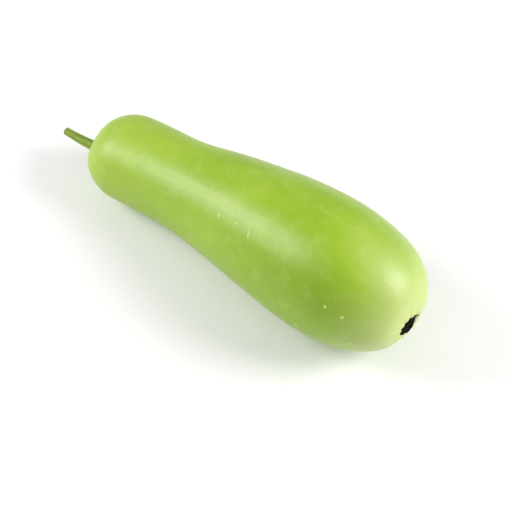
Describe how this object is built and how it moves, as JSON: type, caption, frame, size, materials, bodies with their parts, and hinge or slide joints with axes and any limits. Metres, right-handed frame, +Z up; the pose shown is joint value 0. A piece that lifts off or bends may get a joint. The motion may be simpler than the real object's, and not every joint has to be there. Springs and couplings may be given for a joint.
{
  "type": "bottle gourd",
  "caption": "Long pale-green club-shaped gourd lying on its side, with a slim waist, a cut stem and a withered flower in the pit at its rounded end.",
  "frame": {"origin": "bottom centre of the whole gourd's box, stem included, on the floor that it rests on", "axes": "+Z up, +X along the gourd's length towards the blossom end, so the stem points to -X"},
  "size_m": [0.3144, 0.0988, 0.0994],
  "materials": {
    "gourd_skin": "waxy satin pale green skin",
    "stem_rind": "dull olive green ribbed stalk",
    "withered_flower": "dry matte near-black crumpled tissue"
  },
  "bodies": {
    "root": {"fruit": "gourd_skin", "stem": "stem_rind", "dried_blossom": "withered_flower"}
  },
  "joints": []
}
